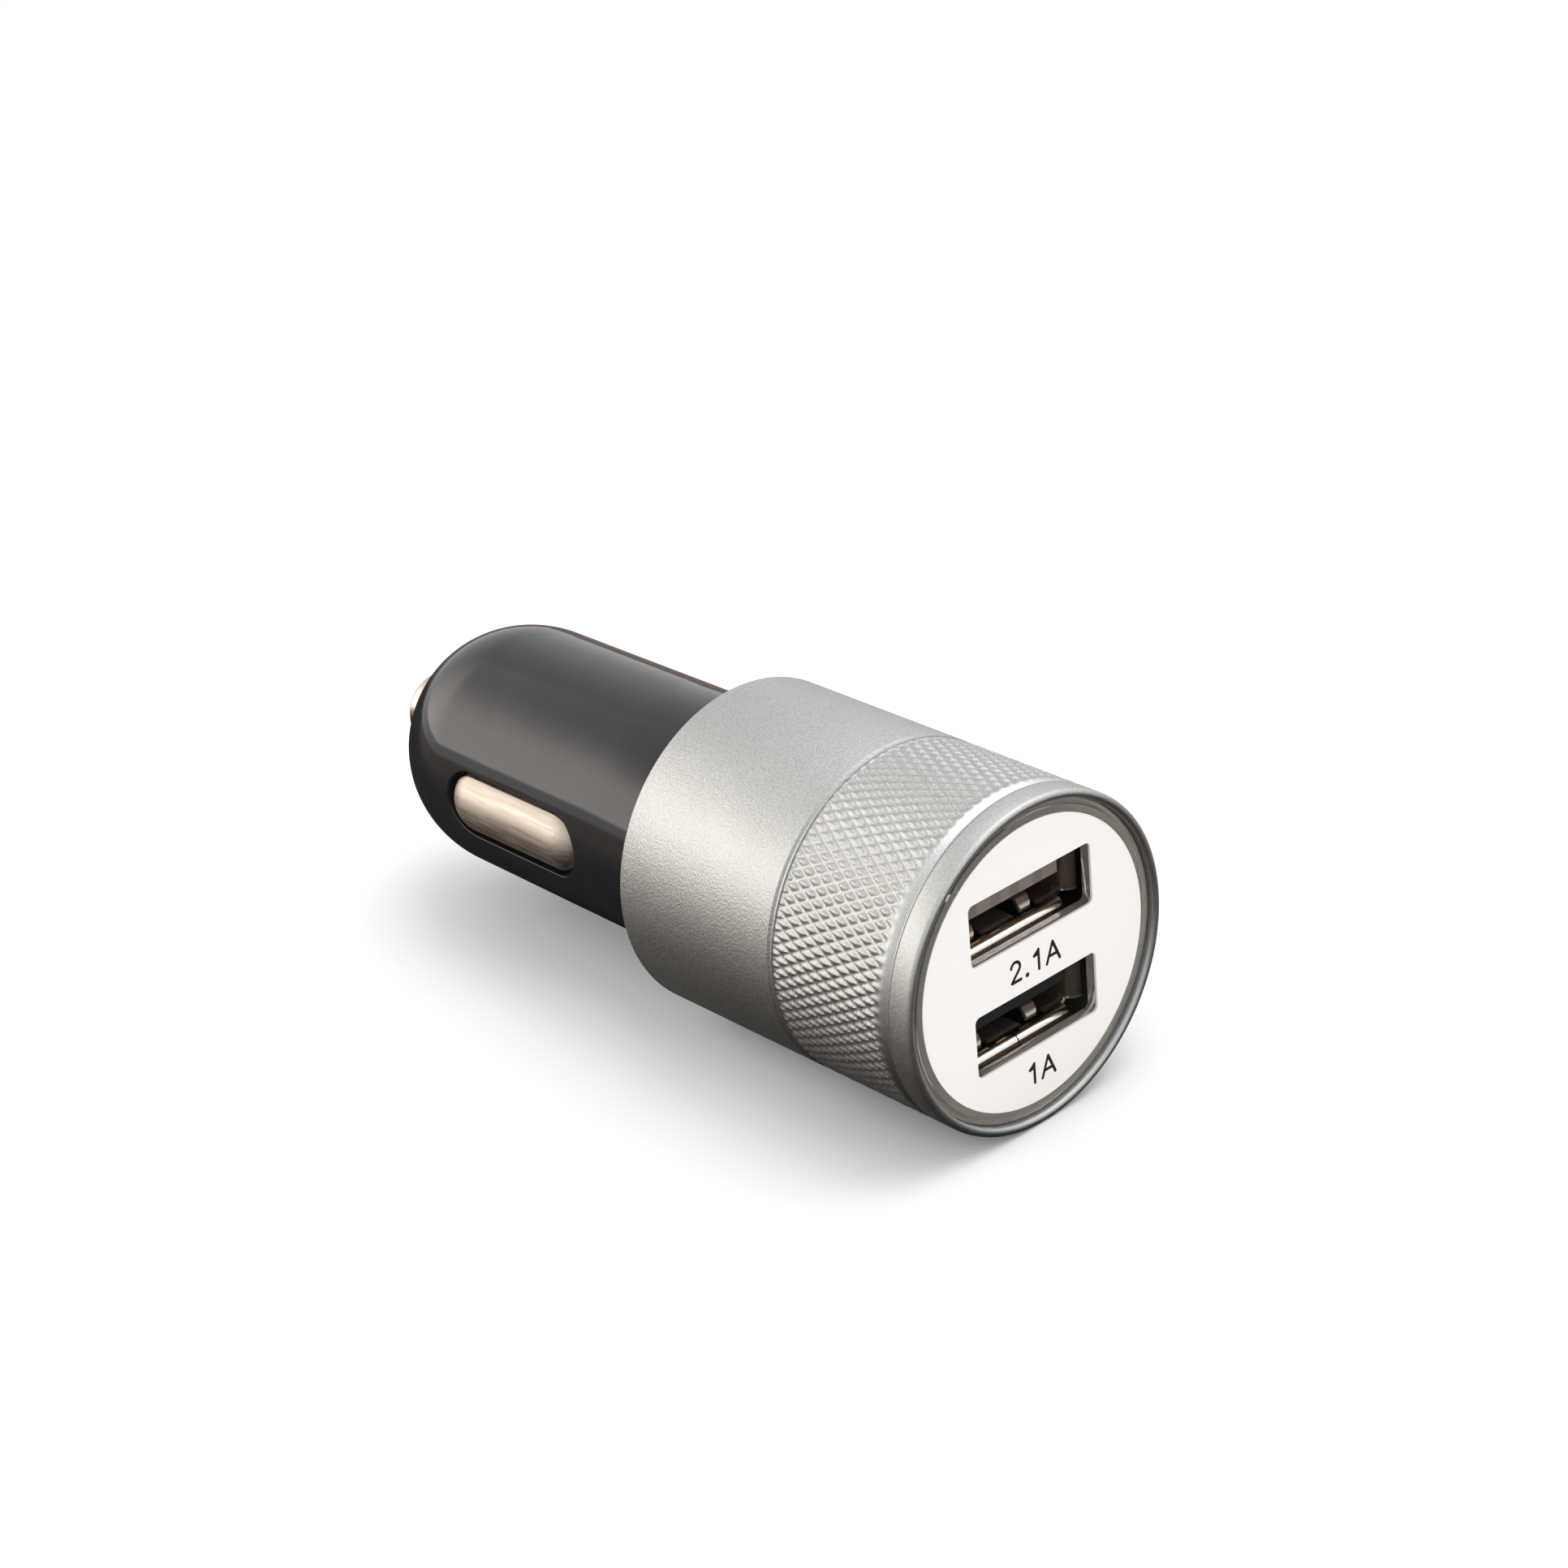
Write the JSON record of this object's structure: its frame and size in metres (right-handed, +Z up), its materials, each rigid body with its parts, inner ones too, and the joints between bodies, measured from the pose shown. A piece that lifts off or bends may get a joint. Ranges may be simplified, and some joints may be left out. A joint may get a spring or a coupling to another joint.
{
  "type": "car usb charger plug",
  "caption": "Vehicle socket plug with a knurled aluminium sleeve, stacked USB type A ports in its face, a domed black barrel, sprung side contacts and a sprung tip.",
  "frame": {"origin": "on the plug's axis, in the plane of the sleeve's rear shoulder, which stops against the vehicle's socket", "axes": "+Y along the plug into the vehicle's socket, +Z up through the upper port, +X to the right seen from the face"},
  "size_m": [0.027, 0.0731, 0.027],
  "materials": {
    "sleeve": "bead-blasted and anodised, knurled band, bright turned edges",
    "plug_body": "polished black moulding",
    "clear_face": "clear polished plastic",
    "face_label": "warm white printed film",
    "port_shell": "nickel-plated folded sheet",
    "port_tongue_upper": "pale grey moulding",
    "port_tongue_lower": "black moulding",
    "port_contacts": "gold-flashed strip",
    "board": "green solder mask on glass fibre laminate",
    "tip_contact": "nickel-plated turned pin",
    "ground_contact": "nickel-plated drawn cap",
    "spring": "bright spring wire and strip",
    "terminal": "tinned brass strip",
    "ferrite": "dark grey ferrite",
    "winding": "enamelled copper wire",
    "capacitor": "bare can",
    "chip": "black moulding compound",
    "lead": "tin-plated leads",
    "resistor": "black glaze on ceramic",
    "chip_capacitor": "tan ceramic",
    "led": "pale lens on a white base"
  },
  "bodies": {
    "housing": {"sleeve": "sleeve", "plug_body": "plug_body", "clear_face": "clear_face", "face_label": "face_label", "port_shell_upper": "port_shell", "port_shell_lower": "port_shell", "port_tongue_upper": "port_tongue_upper", "port_tongue_lower": "port_tongue_lower", "port_contacts_upper": "port_contacts", "port_contacts_lower": "port_contacts", "socket_board": "board", "main_board": "board", "tip_spring": "spring", "tip_terminal": "terminal", "ground_spring_left": "spring", "ground_spring_right": "spring", "inductor_core": "ferrite", "inductor_winding": "winding", "output_capacitor": "capacitor", "input_capacitor": "capacitor", "converter_chip": "chip", "converter_leads": "lead", "rectifier_diode": "chip", "diode_leads": "lead", "chip_resistors": "resistor", "chip_capacitors": "chip_capacitor", "indicator_led": "led"},
    "tip": {"tip_contact": "tip_contact"},
    "ground_left": {"ground_contact_left": "ground_contact"},
    "ground_right": {"ground_contact_right": "ground_contact"}
  },
  "joints": [
    {"name": "tip_press", "type": "slide", "parent": "housing", "child": "tip", "axis": [0, -1, 0], "range_m": [0, 0.003], "stiffness_N_per_m": 400, "springref_m": -0.002, "deforming": ["tip_spring"]},
    {"name": "ground_left_press", "type": "slide", "parent": "housing", "child": "ground_left", "axis": [1, 0, 0], "range_m": [0, 0.0012], "stiffness_N_per_m": 600, "springref_m": -0.0005, "deforming": ["ground_spring_left"]},
    {"name": "ground_right_press", "type": "slide", "parent": "housing", "child": "ground_right", "axis": [-1, 0, 0], "range_m": [0, 0.0012], "stiffness_N_per_m": 600, "springref_m": -0.0005, "deforming": ["ground_spring_right"]}
  ]
}
